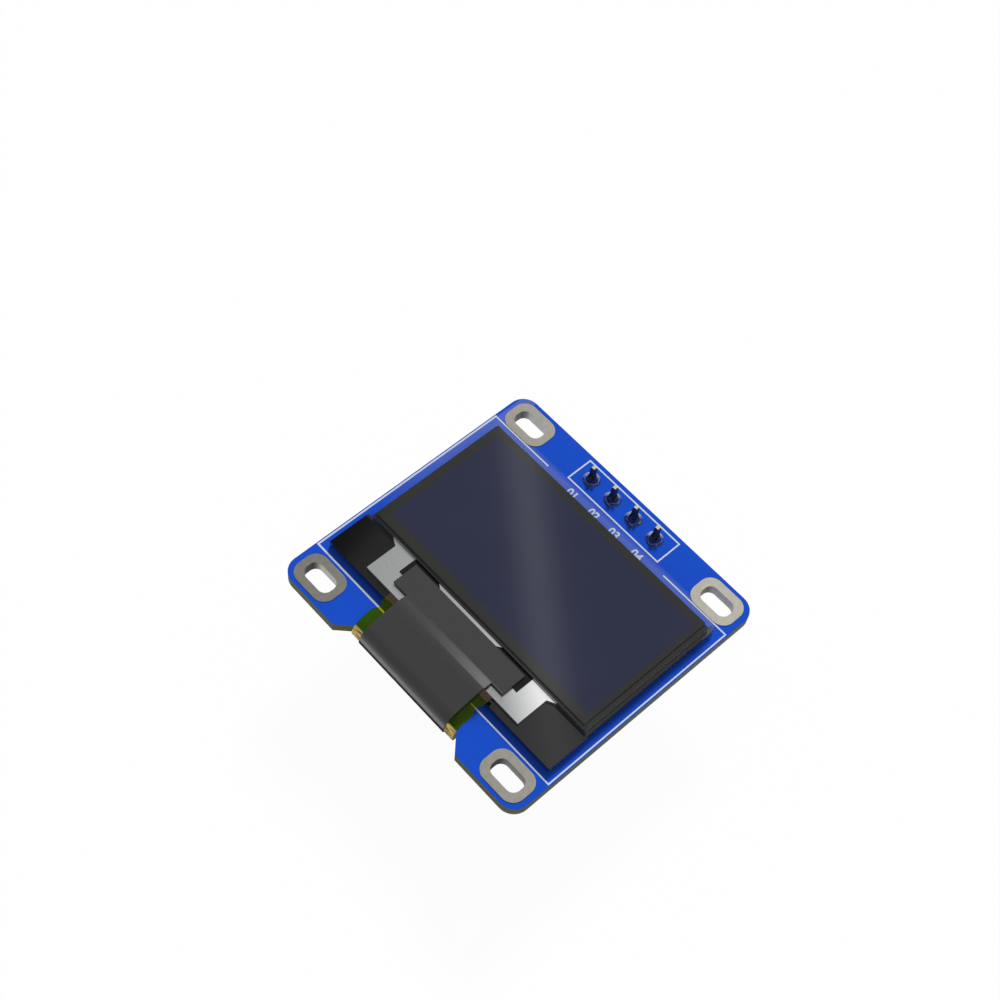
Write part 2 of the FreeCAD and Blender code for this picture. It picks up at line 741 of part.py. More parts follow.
def add_gull_lead(body, name, role, side, across, start, width):
    """Flat lead that leaves the moulded body at mid height and steps down to its foot."""
    rise = "moulded_standoff + moulded_height / 2 - lead_thickness / 2"
    corners = [
        (start, rise),
        (f"{start} + lead_run - lead_thickness", rise),
        (f"{start} + lead_run - lead_thickness", "0"),
        (f"{start} + lead_run + lead_foot", "0"),
        (f"{start} + lead_run + lead_foot", "lead_thickness"),
        (f"{start} + lead_run", "lead_thickness"),
        (f"{start} + lead_run", f"{rise} + lead_thickness"),
        (start, f"{rise} + lead_thickness"),
    ]
    profile = new_sketch(body, name, role, across)
    add_polygon(profile, [(f"{side} * ({x})", z) for x, z in corners])
    pad(body, profile, f"{name}Pad", width, both_ways=True)


def make_regulator():
    """Three-lead voltage regulator."""
    make_moulded_body("regulator_body", "regulator_x", "regulator_y", "regulator_length",
                      "regulator_width")
    leads = new_body("regulator_leads")
    for name, side, across in (("LeadLeft", -1, "-regulator_pitch / 2"),
                               ("LeadRight", -1, "regulator_pitch / 2"), ("LeadTab", 1, "0")):
        add_gull_lead(leads, name, "YZ_Plane", side, across, "regulator_width / 2",
                      "regulator_lead_width")
    face_down(leads, "regulator_x", "regulator_y")


def make_diode():
    """Two-lead moulded diode."""
    make_moulded_body("diode_body", "diode_x", "diode_y", "diode_length", "diode_width")
    leads = new_body("diode_leads")
    for name, side in (("DiodeLeadLeft", -1), ("DiodeLeadRight", 1)):
        add_gull_lead(leads, name, "XZ_Plane", side, "0", "diode_length / 2", "diode_lead_width")
    face_down(leads, "diode_x", "diode_y")


make_circuit_board()
for number, (side_x, side_y) in enumerate(SLOT_CORNERS, start=1):
    make_slot_rim(number, side_x, side_y)
make_header_body()
for index in range(PIN_COUNT):
    make_header_pin(index)
    make_pin_solder(index)
make_panel()
make_conductor_plate("conductor_plate_left", -1)
make_conductor_plate("conductor_plate_right", 1)
make_flex()
make_flex_solder()
make_chips()
make_regulator()
make_diode()
doc.recompute()

# Nothing is written unless every object built
for thing in doc.Objects:
    if "Invalid" in thing.State or "Error" in thing.State:
        raise RuntimeError(f"{thing.Label} failed: {thing.State}")
for piece in sub_parts:
    if piece.Shape.isNull() or not piece.Shape.isValid() or not piece.Shape.Solids:
        raise RuntimeError(f"{piece.Label} has no valid solid")
    print(piece.Label, len(piece.Shape.Solids), round(piece.Shape.Volume, 4))

os.makedirs("parts", exist_ok=True)
for piece in sub_parts:
    piece.Shape.exportStep(f"parts/{piece.Label}.step")
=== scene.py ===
import math

import bpy
from mathutils import Matrix, Vector


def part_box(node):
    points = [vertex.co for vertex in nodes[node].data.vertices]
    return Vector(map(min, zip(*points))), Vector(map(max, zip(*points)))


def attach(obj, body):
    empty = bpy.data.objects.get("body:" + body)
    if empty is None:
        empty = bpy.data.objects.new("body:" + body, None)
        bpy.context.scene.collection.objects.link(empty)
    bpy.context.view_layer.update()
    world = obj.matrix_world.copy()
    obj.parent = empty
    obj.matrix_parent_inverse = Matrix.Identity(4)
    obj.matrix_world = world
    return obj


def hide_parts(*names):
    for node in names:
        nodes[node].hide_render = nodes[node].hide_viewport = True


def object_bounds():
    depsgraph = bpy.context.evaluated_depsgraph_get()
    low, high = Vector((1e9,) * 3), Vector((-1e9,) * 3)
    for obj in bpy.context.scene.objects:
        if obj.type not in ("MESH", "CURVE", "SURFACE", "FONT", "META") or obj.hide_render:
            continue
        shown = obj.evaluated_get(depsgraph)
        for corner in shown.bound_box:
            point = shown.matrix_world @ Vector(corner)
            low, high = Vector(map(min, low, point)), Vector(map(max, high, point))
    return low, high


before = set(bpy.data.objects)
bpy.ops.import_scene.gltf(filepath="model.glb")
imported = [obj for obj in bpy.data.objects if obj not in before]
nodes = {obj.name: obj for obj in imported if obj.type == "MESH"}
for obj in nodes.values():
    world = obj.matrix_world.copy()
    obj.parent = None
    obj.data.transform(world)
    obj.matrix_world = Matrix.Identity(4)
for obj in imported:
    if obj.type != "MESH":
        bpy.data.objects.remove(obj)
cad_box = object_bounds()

MM = 0.001

# Camera. It stands off the flex edge's right-hand corner and looks down at the display,
# rolled a little, as the photograph does.
camera_place = Vector((42.571, -52.194, 123.254)) * MM
camera_look = Vector((-0.34498, 0.39249, -0.85261))
camera_up = Vector((-0.65552, 0.54939, 0.51813))
bpy.ops.object.camera_add(location=camera_place)
camera = bpy.context.object
camera.name = "camera"
camera_right = camera_look.cross(camera_up).normalized()
camera_turn = Matrix((camera_right, camera_up, -camera_look)).transposed()
camera.rotation_euler = camera_turn.to_euler()
camera.data.lens = 61.91
camera.data.sensor_width = 36.0
camera.data.shift_x = -0.0005
camera.data.shift_y = 0.0005
camera.data.clip_start = 0.001
camera.data.clip_end = 20.0
bpy.context.scene.camera = camera
bpy.context.scene.view_settings.view_transform = "Standard"

# Studio. One soft high lamp behind the header's left end gives the short shadows beside the
# panel. Gloss sees near-white walls low down and a dimmer ceiling, which has a dark corner, a
# paler right-hand end and one long pale band across it.
world_light = 0.38
wall_level = 0.9
ceiling_level = 0.45
corner_level = -0.36
far_level = 0.16
band_level = 1.15
front_level = 0.30
front_band_loss = 0.7
# Places on the ceiling, as tangents of the angle from the mirrored line of sight
corner_lean = -0.806
corner_start, corner_end = -0.069, -0.054
corner_low, corner_high = -0.006, 0.004
corner_bottom, corner_top = -0.10, -0.07
corner_left, corner_right = -0.16, -0.12
far_start, far_end = 0.08, 0.16
band_middle, band_reach = 0.0159, 0.019
band_lean = 0.117
front_lean = 1.01
front_start, front_end = -0.090, -0.075
right_start, right_end = -0.03, 0.01
wall_top, ceiling_start = 0.30, 0.58
world = bpy.data.worlds.new("studio_world")
bpy.context.scene.world = world
world.use_nodes = True
world_nodes = world.node_tree.nodes
world_links = world.node_tree.links
background = world_nodes["Background"]
background.inputs["Color"].default_value = (1.0, 1.0, 1.0, 1.0)
direction = world_nodes.new("ShaderNodeTexCoord")


def world_math(operation, *values):
    """Sum node of the world; each value is a number or another node's output."""
    node = world_nodes.new("ShaderNodeMath")
    node.operation = operation
    for socket, value in zip(node.inputs, values):
        if isinstance(value, (int, float)):
            socket.default_value = value
        else:
            world_links.new(value, socket)
    return node.outputs[0]


def world_ramp(value, low, high, out_low, out_high):
    """Ramp of the world with soft ends."""
    node = world_nodes.new("ShaderNodeMapRange")
    node.interpolation_type = "SMOOTHSTEP"
    node.inputs["From Min"].default_value = low
    node.inputs["From Max"].default_value = high
    node.inputs["To Min"].default_value = out_low
    node.inputs["To Max"].default_value = out_high
    world_links.new(value, node.inputs["Value"])
    return node.outputs["Result"]


def along(axis):
    """How far the direction of a ray runs along an axis that is mirrored in the display."""
    node = world_nodes.new("ShaderNodeVectorMath")
    node.operation = "DOT_PRODUCT"
    world_links.new(direction.outputs["Generated"], node.inputs[0])
    node.inputs[1].default_value = (axis.x, axis.y, -axis.z)
    return node.outputs["Value"]


ahead = along(camera_look)
across = world_math("DIVIDE", along(camera_right), ahead)
upward = world_math("DIVIDE", along(camera_up), ahead)
from_corner = world_math("ADD", across, world_math("MULTIPLY", upward, corner_lean))
corner = world_ramp(from_corner, corner_start, corner_end, corner_level, 0.0)
for limit in (world_ramp(upward, corner_low, corner_high, 1.0, 0.0),
              world_ramp(upward, corner_bottom, corner_top, 0.0, 1.0),
              world_ramp(across, corner_left, corner_right, 0.0, 1.0)):
    corner = world_math("MULTIPLY", corner, limit)
far_end_light = world_ramp(across, far_start, far_end, ceiling_level, ceiling_level + far_level)
ceiling = world_math("ADD", far_end_light, corner)
# Towards the viewer's right the ceiling is paler and the band fainter
to_front = world_ramp(world_math("ADD", upward, world_math("MULTIPLY", across, front_lean)),
                      front_start, front_end, 1.0, 0.0)
near_right = world_math("MULTIPLY", to_front, world_ramp(across, right_start, right_end, 0.0, 1.0))
ceiling = world_math("ADD", ceiling, world_math("MULTIPLY", near_right, front_level))
leaning = world_math("ADD", across, world_math("MULTIPLY", upward, band_lean))
from_band = world_math("ABSOLUTE", world_math("SUBTRACT", leaning, band_middle))
band = world_math("MULTIPLY", world_ramp(from_band, 0.0, band_reach, band_level, 0.0),
                  world_math("SUBTRACT", 1.0, world_math("MULTIPLY", to_front, front_band_loss)))
ceiling = world_math("ADD", ceiling, band)
split = world_nodes.new("ShaderNodeSeparateXYZ")
world_links.new(direction.outputs["Generated"], split.inputs["Vector"])
wall_share = world_ramp(split.outputs["Z"], wall_top, ceiling_start, 1.0, 0.0)
ceiling_share = world_math("SUBTRACT", 1.0, wall_share)
gloss_light = world_math("ADD", world_math("MULTIPLY", ceiling, ceiling_share),
                         world_math("MULTIPLY", wall_share, wall_level))
ray = world_nodes.new("ShaderNodeLightPath")
white = world_math("MAXIMUM", ray.outputs["Is Camera Ray"], ray.outputs["Is Transmission Ray"])
dull = world_math("SUBTRACT", 1.0, world_math("MAXIMUM", white, ray.outputs["Is Glossy Ray"]))
strength = world_math("ADD", world_math("MULTIPLY", dull, world_light),
                      world_math("MULTIPLY", ray.outputs["Is Glossy Ray"], gloss_light))
world_links.new(world_math("MAXIMUM", strength, white), background.inputs["Strength"])

key_direction = Vector((-0.63, 1.0, 1.0)).normalized()
key_distance = 0.5
bpy.ops.object.light_add(type="SUN", location=key_direction * key_distance)
key_lamp = bpy.context.object
key_lamp.name = "key_lamp"
key_lamp.rotation_euler = key_direction.to_track_quat("Z", "Y").to_euler()
key_lamp.data.energy = 2.9
key_lamp.data.angle = math.radians(14)
key_lamp.visible_glossy = False


# Floor. A level white sheet under the pin ends, pale enough to leave only a faint shadow.
def linear(red, green, blue):
    """Colour as written from 0 to 255, turned to the values that a shader takes."""
    levels = []
    for level in (red, green, blue):
        part = level / 255
        levels.append(part / 12.92 if part <= 0.04045 else ((part + 0.055) / 1.055) ** 2.4)
    return (*levels, 1.0)


def new_finish(name):
    """New material, with its nodes, its links and its shader."""
    finish = bpy.data.materials.new(name)
    finish.use_nodes = True
    tools = finish.node_tree.nodes
    return finish, tools, finish.node_tree.links, tools["Principled BSDF"]


def mix_shaders(tools, wires, share, first, second):
    """Blend of two shaders: the second one by the share, the first one by the rest."""
    blend = tools.new("ShaderNodeMixShader")
    wires.new(share, blend.inputs["Fac"])
    wires.new(first, blend.inputs[1])
    wires.new(second, blend.inputs[2])
    return blend.outputs["Shader"]


floor_level = cad_box[0][2]
floor_width = 4.0
glow_share = 0.96
bpy.ops.mesh.primitive_plane_add(size=floor_width, location=(0, 0, floor_level))
floor = bpy.context.object
floor.name = "floor"
floor_finish, tools, wires, shader = new_finish("floor_white")
shader.inputs["Base Color"].default_value = (0.95, 0.95, 0.95, 1.0)
shader.inputs["Roughness"].default_value = 0.9
shader.inputs["Specular IOR Level"].default_value = 0.0
glow = tools.new("ShaderNodeEmission")
floor_ray = tools.new("ShaderNodeLightPath")
seen_glow = tools.new("ShaderNodeMath")
seen_glow.operation = "MULTIPLY"
seen_glow.inputs[1].default_value = glow_share
wires.new(floor_ray.outputs["Is Camera Ray"], seen_glow.inputs[0])
from_above = mix_shaders(tools, wires, seen_glow.outputs[0], shader.outputs["BSDF"],
                         glow.outputs["Emission"])
# From below the floor is clear, so that the back of the board shows
clear_floor = tools.new("ShaderNodeBsdfTransparent")
floor_side = tools.new("ShaderNodeNewGeometry")
floor_seen = mix_shaders(tools, wires, floor_side.outputs["Backfacing"], from_above,
                         clear_floor.outputs["BSDF"])
wires.new(floor_seen, tools["Material Output"].inputs["Surface"])
floor.data.materials.append(floor_finish)


# Circuit board. Glass-fibre laminate with a smooth blue mask on both faces; the routed edge
# shows the bare olive laminate.
def add_noise(tools, wires, size_mm, detail=2.0, stretch=(1.0, 1.0, 1.0)):
    """Noise of a given grain size on the piece's own coordinates."""
    place = tools.new("ShaderNodeTexCoord")
    spread = tools.new("ShaderNodeMapping")
    spread.inputs["Scale"].default_value = [part / (size_mm * MM) for part in stretch]
    noise = tools.new("ShaderNodeTexNoise")
    noise.inputs["Scale"].default_value = 1.0
    noise.inputs["Detail"].default_value = detail
    wires.new(place.outputs["Object"], spread.inputs["Vector"])
    wires.new(spread.outputs["Vector"], noise.inputs["Vector"])
    return noise


def add_bump(tools, wires, source, depth_mm, shader):
    """Fine relief on a shader, from a value that runs from 0 to 1."""
    bump = tools.new("ShaderNodeBump")
    bump.inputs["Distance"].default_value = depth_mm * MM
    wires.new(source, bump.inputs["Height"])
    wires.new(bump.outputs["Normal"], shader.inputs["Normal"])


def mix_colours(tools, wires, factor, first, second):
    """Blend of two colours by a factor; each colour is a value or another node's output."""
    blend = tools.new("ShaderNodeMix")
    blend.data_type = "RGBA"
    wires.new(factor, blend.inputs[0])
    for socket, colour in ((6, first), (7, second)):
        if isinstance(colour, tuple):
            blend.inputs[socket].default_value = colour
        else:
            wires.new(colour, blend.inputs[socket])
    return blend.outputs[2]


def dress(name, finish):
    """Gives a CAD piece its finish."""
    nodes[name].data.materials.clear()
    nodes[name].data.materials.append(finish)


def ramp(tools, wires, source, low, high, out_low=0.0, out_high=1.0):
    """Clamped straight ramp of a value."""
    steps = tools.new("ShaderNodeMapRange")
    steps.inputs["From Min"].default_value = low
    steps.inputs["From Max"].default_value = high
    steps.inputs["To Min"].default_value = out_low
    steps.inputs["To Max"].default_value = out_high
    wires.new(source, steps.inputs["Value"])
    return steps.outputs["Result"]


def place_of(tools, wires):
    """The piece's own X, Y and Z, as three outputs."""
    place = tools.new("ShaderNodeTexCoord")
    split = tools.new("ShaderNodeSeparateXYZ")
    wires.new(place.outputs["Object"], split.inputs["Vector"])
    return split.outputs


def facing_of(tools, wires):
    """The way that a face is turned: its normal's X, Y and Z, as three outputs."""
    geometry = tools.new("ShaderNodeNewGeometry")
    split = tools.new("ShaderNodeSeparateXYZ")
    wires.new(geometry.outputs["Normal"], split.inputs["Vector"])
    return split.outputs


def levelness(tools, wires, facing):
    """One on a level face, front or back, and nothing on an upright one."""
    node = tools.new("ShaderNodeMath")
    node.operation = "ABSOLUTE"
    wires.new(facing["Z"], node.inputs[0])
    return node.outputs[0]


def together(tools, wires, operation, values):
    """One output from two or more, taken in turn through the same operation."""
    result = values[0]
    for value in values[1:]:
        node = tools.new("ShaderNodeMath")
        node.operation = operation
        wires.new(result, node.inputs[0])
        wires.new(value, node.inputs[1])
        result = node.outputs[0]
    return result


def times(tools, wires, *factors):
    return together(tools, wires, "MULTIPLY", factors)


def lighter(tools, wires, *values):
    return together(tools, wires, "MAXIMUM", values)


def within(tools, wires, value, low, high, soft):
    """One between two places in millimetres and nothing outside them, with soft ends."""
    half = soft / 2
    rise = ramp(tools, wires, value, (low - half) * MM, (low + half) * MM)
    fall = ramp(tools, wires, value, (high - half) * MM, (high + half) * MM, 1.0, 0.0)
    return times(tools, wires, rise, fall)


board_finish, tools, wires, shader = new_finish("board_mask_and_laminate")
cloud = add_noise(tools, wires, 6.0)
mask_colour = mix_colours(tools, wires, cloud.outputs["Fac"], linear(23, 74, 190), linear(29, 81, 204))
# A face counts as turned to a side from the first share of its normal, in full at the second
turn_low, turn_high = 0.4, 0.6
# Painted light: on the front the mask is paler along the panel's header side and down its left side, where
# the glass edges throw light
above_left, above_right, above_soft = -13.6, 12.7, 0.4
above_low, above_full, above_fade, above_high = 8.4, 8.5, 9.9, 10.55
beside_left, beside_right, beside_soft = -13.8, -12.6, 0.1
beside_low, beside_full = -4.0, 5.0
above_share, beside_share = 0.16, 0.14
x, y, _ = place_of(tools, wires)
facing = facing_of(tools, wires)
above = times(tools, wires, within(tools, wires, x, above_left, above_right, above_soft),
              ramp(tools, wires, y, above_fade * MM, above_high * MM, above_share, 0.0),
              ramp(tools, wires, y, above_low * MM, above_full * MM))
beside = times(tools, wires, within(tools, wires, x, beside_left, beside_right, beside_soft),
               ramp(tools, wires, y, beside_low * MM, beside_full * MM, 0.0, beside_share))
painted_glow = times(tools, wires, lighter(tools, wires, above, beside),
             ramp(tools, wires, facing["Z"], turn_low, turn_high))
mask_colour = mix_colours(tools, wires, painted_glow, mask_colour, linear(190, 190, 190))
is_face = ramp(tools, wires, levelness(tools, wires, facing), turn_low, turn_high)
fibre = add_noise(tools, wires, 0.25, 3.0, (1.0, 1.0, 6.0))
laminate = mix_colours(tools, wires, fibre.outputs["Fac"], linear(70, 78, 44), linear(128, 130, 96))
wires.new(mix_colours(tools, wires, is_face, laminate, mask_colour), shader.inputs["Base Color"])
wires.new(ramp(tools, wires, is_face, 0.0, 1.0, 0.75, 0.34), shader.inputs["Roughness"])
shader.inputs["Specular IOR Level"].default_value = 0.07
weave = add_noise(tools, wires, 0.9, 1.0)
add_bump(tools, wires, weave.outputs["Fac"], 0.01, shader)
dress("circuit_board", board_finish)


# Slot rims. Tinned copper lands round the four slots, joined through the board by their wall,
# with a painted highlight that grows towards the header's right-hand end.
def run_along(tools, wires, source, axis):
    """How far a place or a normal runs along an axis."""
    node = tools.new("ShaderNodeVectorMath")
    node.operation = "DOT_PRODUCT"
    wires.new(source, node.inputs[0])
    node.inputs[1].default_value = axis
    return node.outputs["Value"]


rim_finish, tools, wires, shader = new_finish("tinned_copper")
mottle = add_noise(tools, wires, 0.5, 3.0)
dull_tin = mix_colours(tools, wires, mottle.outputs["Fac"], linear(142, 140, 130), linear(166, 164, 154))
painted_highlight_tin = mix_colours(tools, wires, mottle.outputs["Fac"], linear(206, 203, 188), linear(232, 229, 216))
highlight_side = (0.58, 0.81, 0.0)
highlight_reach = 16 * MM
place = tools.new("ShaderNodeTexCoord")
to_highlight = run_along(tools, wires, place.outputs["Object"], highlight_side)
# Painted highlight: the tin is paler towards the header's right-hand end
land_tin = mix_colours(tools, wires, ramp(tools, wires, to_highlight, -highlight_reach, highlight_reach),
                       dull_tin, painted_highlight_tin)
# Painted shade: the slot's wall is darker than the land, most at the slot's left-hand end
facing = facing_of(tools, wires)
on_wall = ramp(tools, wires, levelness(tools, wires, facing), 0.3, 0.6, 1.0, 0.0)
wall_tin_shade = mix_colours(tools, wires, ramp(tools, wires, facing["X"], 0.1, 0.9),
                       linear(186, 184, 178), linear(84, 80, 74))
wires.new(mix_colours(tools, wires, on_wall, land_tin, wall_tin_shade), shader.inputs["Base Color"])
shader.inputs["Metallic"].default_value = 0.8
shader.inputs["Roughness"].default_value = 0.42
add_bump(tools, wires, mottle.outputs["Fac"], 0.01, shader)
slot_count = 4
for number in range(1, slot_count + 1):
    dress(f"slot_rim_{number}", rim_finish)


# Board print. White epoxy ink lines: a frame round the panel, open at the flex and at the pin
# row, and the pin row's box, with a plain number for each pin.
def new_plain(name, dark, light, grain, roughness, relief=0.0, metallic=0.0, specular=0.5, detail=3.0):
    """Opaque finish of two near colours; its grain and relief are in millimetres."""
    finish, tools, wires, shader = new_finish(name)
    fleck = add_noise(tools, wires, grain, detail)
    wires.new(mix_colours(tools, wires, fleck.outputs["Fac"], dark, light), shader.inputs["Base Color"])
    shader.inputs["Roughness"].default_value = roughness
    shader.inputs["Metallic"].default_value = metallic
    shader.inputs["Specular IOR Level"].default_value = specular
    if relief:
        add_bump(tools, wires, fleck.outputs["Fac"], relief, shader)
    return finish


ink_thickness = 0.012
print_finish = new_plain("white_ink", linear(188, 198, 218), linear(222, 226, 234),
                         grain=0.2, roughness=0.6, relief=0.004)


def settle(piece, name, finish):
    """Names a finished piece, applies its place and lets it ride on the one body."""
    piece.name = name
    bpy.ops.object.select_all(action="DESELECT")
    piece.select_set(True)
    bpy.context.view_layer.objects.active = piece
    bpy.ops.object.transform_apply(location=True, rotation=True, scale=True)
    piece.data.materials.clear()
    piece.data.materials.append(finish)
    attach(piece, "root")


def add_bar(x_low, x_high, y_low, y_high, z_low, z_high):
    """Flat bar between two corners in millimetres."""
    bpy.ops.object.select_all(action="DESELECT")
    middle = Vector((x_low + x_high, y_low + y_high, z_low + z_high)) * 0.5 * MM
    bpy.ops.mesh.primitive_cube_add(size=1.0, location=middle)
    bar = bpy.context.object
    bar.scale = Vector((x_high - x_low, y_high - y_low, z_high - z_low)) * MM
    bpy.ops.object.transform_apply(location=False, rotation=False, scale=True)
    return bar


def join(pieces):
    bpy.ops.object.select_all(action="DESELECT")
    for piece in pieces:
        piece.select_set(True)
    bpy.context.view_layer.objects.active = pieces[0]
    bpy.ops.object.join()
    return bpy.context.object


def add_line(start, end, width, z_low, z_high):
    """Level or upright ink line with square ends, given by its middle line."""
    half = width / 2
    x_low, x_high = sorted((start[0], end[0]))
    y_low, y_high = sorted((start[1], end[1]))
    return add_bar(x_low - half, x_high + half, y_low - half, y_high + half, z_low, z_high)


frame_left, frame_right = -13.863, 13.869
frame_low, frame_high = -9.765, 9.984
gap_left, gap_right = -7.27, 6.77
flex_side = 5.0
side_width, end_width, box_width = 0.165, 0.13, 0.135
frame_lines = [
    ((frame_left, frame_low), (frame_left, frame_high), side_width),
    ((frame_right, frame_low), (frame_right, frame_high), end_width),
    ((frame_left + side_width, frame_low), (-flex_side, frame_low), side_width),
    ((flex_side, frame_low), (frame_right - end_width, frame_low), end_width),
    ((frame_left + side_width, frame_high), (gap_left, frame_high), end_width),
    ((gap_right, frame_high), (frame_right - end_width, frame_high), end_width),
]
settle(join([add_line(*line, 0.0, ink_thickness) for line in frame_lines]),
       "print_panel_frame", print_finish)
box_left, box_right, box_low, box_high = -5.28, 5.477, 10.52, 13.133
box_lines = [
    ((box_left, box_low), (box_left, box_high)),
    ((box_right, box_low), (box_right, box_high)),
    ((box_left + box_width, box_low), (box_right - box_width, box_low)),
    ((box_left + box_width, box_high), (box_right - box_width, box_high)),
]
settle(join([add_line(*line, box_width, 0.0, ink_thickness) for line in box_lines]),
       "print_header_box", print_finish)
number_height = 0.8
number_top = 10.04
type_size = 1.2
ink_spread = 0.03
number_places = (-3.87, -1.27, 1.18, 3.89)
for number, number_x in enumerate(number_places, start=1):
    bpy.ops.object.select_all(action="DESELECT")
    bpy.ops.object.text_add(location=(0, 0, 0))
    figure = bpy.context.object
    figure.data.body = f"0{number}"
    figure.data.align_x = "CENTER"
    figure.data.size = type_size * MM
    figure.data.offset = ink_spread * MM
    figure.data.extrude = ink_thickness / 2 * MM
    bpy.ops.object.convert(target="MESH")
    figure_low = min(vertex.co.y for vertex in figure.data.vertices)
    figure_high = max(vertex.co.y for vertex in figure.data.vertices)
    growth = number_height * MM / (figure_high - figure_low)
    figure.scale = (growth, growth, 1.0)
    figure.location = (number_x * MM, number_top * MM - figure_high * growth, ink_thickness / 2 * MM)
    settle(figure, f"print_pin_number_{number}", print_finish)


# Header. A black moulded strip behind the board with four square tinned pins, soldered on the
# front, where the joints and the pins' sides turned to the flex carry a painted dark reflection of the
# board.
header_finish = new_plain("header_black", linear(22, 22, 23), linear(36, 36, 38),
                          grain=0.12, roughness=0.55, relief=0.01, detail=2.0)
dress("header_body", header_finish)


def away_from_flex(tools, wires):
    """One on the sides turned to the header edge and the left, nothing on the sides with the painted
    reflection.
    """
    geometry = tools.new("ShaderNodeNewGeometry")
    turned = run_along(tools, wires, geometry.outputs["Normal"], (-0.66, 0.75, 0.0))
    return ramp(tools, wires, turned, 0.1, 0.5)


pin_finish, tools, wires, shader = new_finish("pin_tin")
draw = add_noise(tools, wires, 0.15, 2.0, (1.0, 1.0, 0.1))
board_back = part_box("circuit_board")[0][2]
front_soft = 0.1 * MM
cut_end = ramp(tools, wires, facing_of(tools, wires)["Z"], 0.9, 0.95)
front = ramp(tools, wires, place_of(tools, wires)["Z"], board_back, board_back + front_soft)
tin = mix_colours(tools, wires, draw.outputs["Fac"], linear(206, 203, 190), linear(228, 226, 214))
# Painted reflection: the pin's sides turned to the flex are dark, as if mirroring the board
painted_reflection = mix_colours(tools, wires, draw.outputs["Fac"], linear(3, 8, 28), linear(12, 24, 62))
front_tin = mix_colours(tools, wires, cut_end, painted_reflection, tin)
front_tin = mix_colours(tools, wires, away_from_flex(tools, wires), front_tin, tin)
wires.new(mix_colours(tools, wires, front, tin, front_tin), shader.inputs["Base Color"])
shader.inputs["Metallic"].default_value = 0.5
shader.inputs["Roughness"].default_value = 0.35
solder_finish, tools, wires, shader = new_finish("joint_solder")
ripple = add_noise(tools, wires, 0.45, 1.0)
z = place_of(tools, wires)["Z"]
ring_pitch = 0.26
ring_wander = 8.0
ring_low, ring_high = 0.84, 0.99
foot_low, foot_high, foot_share = 0.02, 0.2, 0.65
# Rings of drawn solder, one to each pitch up the joint, which wander with the ripple; their crests carry a
# painted highlight
steps = tools.new("ShaderNodeMath")
steps.operation = "MULTIPLY"
steps.inputs[1].default_value = 2 * math.pi / (ring_pitch * MM)
wires.new(z, steps.inputs[0])
wander = tools.new("ShaderNodeMath")
wander.operation = "MULTIPLY_ADD"
wander.inputs[1].default_value = ring_wander
wires.new(ripple.outputs["Fac"], wander.inputs[0])
wires.new(steps.outputs[0], wander.inputs[2])
rings = tools.new("ShaderNodeMath")
rings.operation = "SINE"
wires.new(wander.outputs[0], rings.inputs[0])
crest_highlight = ramp(tools, wires, rings.outputs[0], ring_low, ring_high)
# Painted reflection of the board: dark navy on the sides turned to the flex, bluer at the foot
dark = mix_colours(tools, wires, ripple.outputs["Fac"], linear(3, 14, 52), linear(20, 52, 136))
foot_reflection = ramp(tools, wires, z, foot_low * MM, foot_high * MM, foot_share, 0.0)
dark = mix_colours(tools, wires, foot_reflection, dark, linear(22, 62, 165))
ringed = mix_colours(tools, wires, crest_highlight, dark, linear(122, 134, 152))
bright = mix_colours(tools, wires, ripple.outputs["Fac"], linear(150, 156, 168), linear(206, 206, 204))
wires.new(mix_colours(tools, wires, away_from_flex(tools, wires), ringed, bright),
          shader.inputs["Base Color"])
shader.inputs["Metallic"].default_value = 0.45
shader.inputs["Roughness"].default_value = 0.26
add_bump(tools, wires, rings.outputs[0], 0.02, shader)


def pick(piece, test):
    """Selects, in edit mode, the faces that pass a test."""
    bpy.ops.object.mode_set(mode="EDIT")
    bpy.ops.mesh.select_mode(type="FACE")
    bpy.ops.mesh.select_all(action="DESELECT")
    bpy.ops.object.mode_set(mode="OBJECT")
    for face in piece.data.polygons:
        face.select = test(face)
    bpy.ops.object.mode_set(mode="EDIT")


def draw_out(length, share, middle):
    """Extrudes the picked end face along Z and narrows it to a share of its width."""
    bpy.ops.mesh.extrude_region_move(TRANSFORM_OT_translate={"value": (0.0, 0.0, length)})
    bpy.ops.transform.resize(value=(share, share, 1.0), center_override=middle)


# Each pin again, with its front end drawn in below the square shaft's width and both tips
# tapered
pin_count = 4
front_width = 0.42
shoulder_length = 0.3
point_length = 0.12
point_share = 0.72
back_point_length = 0.4
back_point_share = 0.65
for number in range(1, pin_count + 1):
    dress(f"header_pin_{number}", pin_finish)
    dress(f"pin_solder_{number}", solder_finish)
    (left, low, bottom), (right, high, top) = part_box(f"header_pin_{number}")
    width = right - left
    middle = Vector(((left + right) / 2, (low + high) / 2, 0.0))
    shaft_bottom = bottom + back_point_length * MM
    bpy.ops.object.select_all(action="DESELECT")
    bpy.ops.mesh.primitive_cube_add(size=width, location=middle)
    wire = bpy.context.object
    bpy.ops.object.transform_apply(location=True, rotation=False, scale=False)
    pick(wire, lambda face: face.normal.z > 0.5)
    bpy.ops.transform.translate(value=(0.0, 0.0, -width / 2))
    draw_out(shoulder_length * MM, front_width * MM / width, middle)
    draw_out(top - (shoulder_length + point_length) * MM, 1.0, middle)
    draw_out(point_length * MM, point_share, middle)
    pick(wire, lambda face: face.normal.z < -0.5)
    bpy.ops.transform.translate(value=(0.0, 0.0, shaft_bottom + width / 2))
    draw_out(-back_point_length * MM, back_point_share, middle)
    bpy.ops.object.mode_set(mode="OBJECT")
    settle(wire, f"pin_wire_{number}", pin_finish)
    wire.visible_shadow = False
    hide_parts(f"header_pin_{number}")


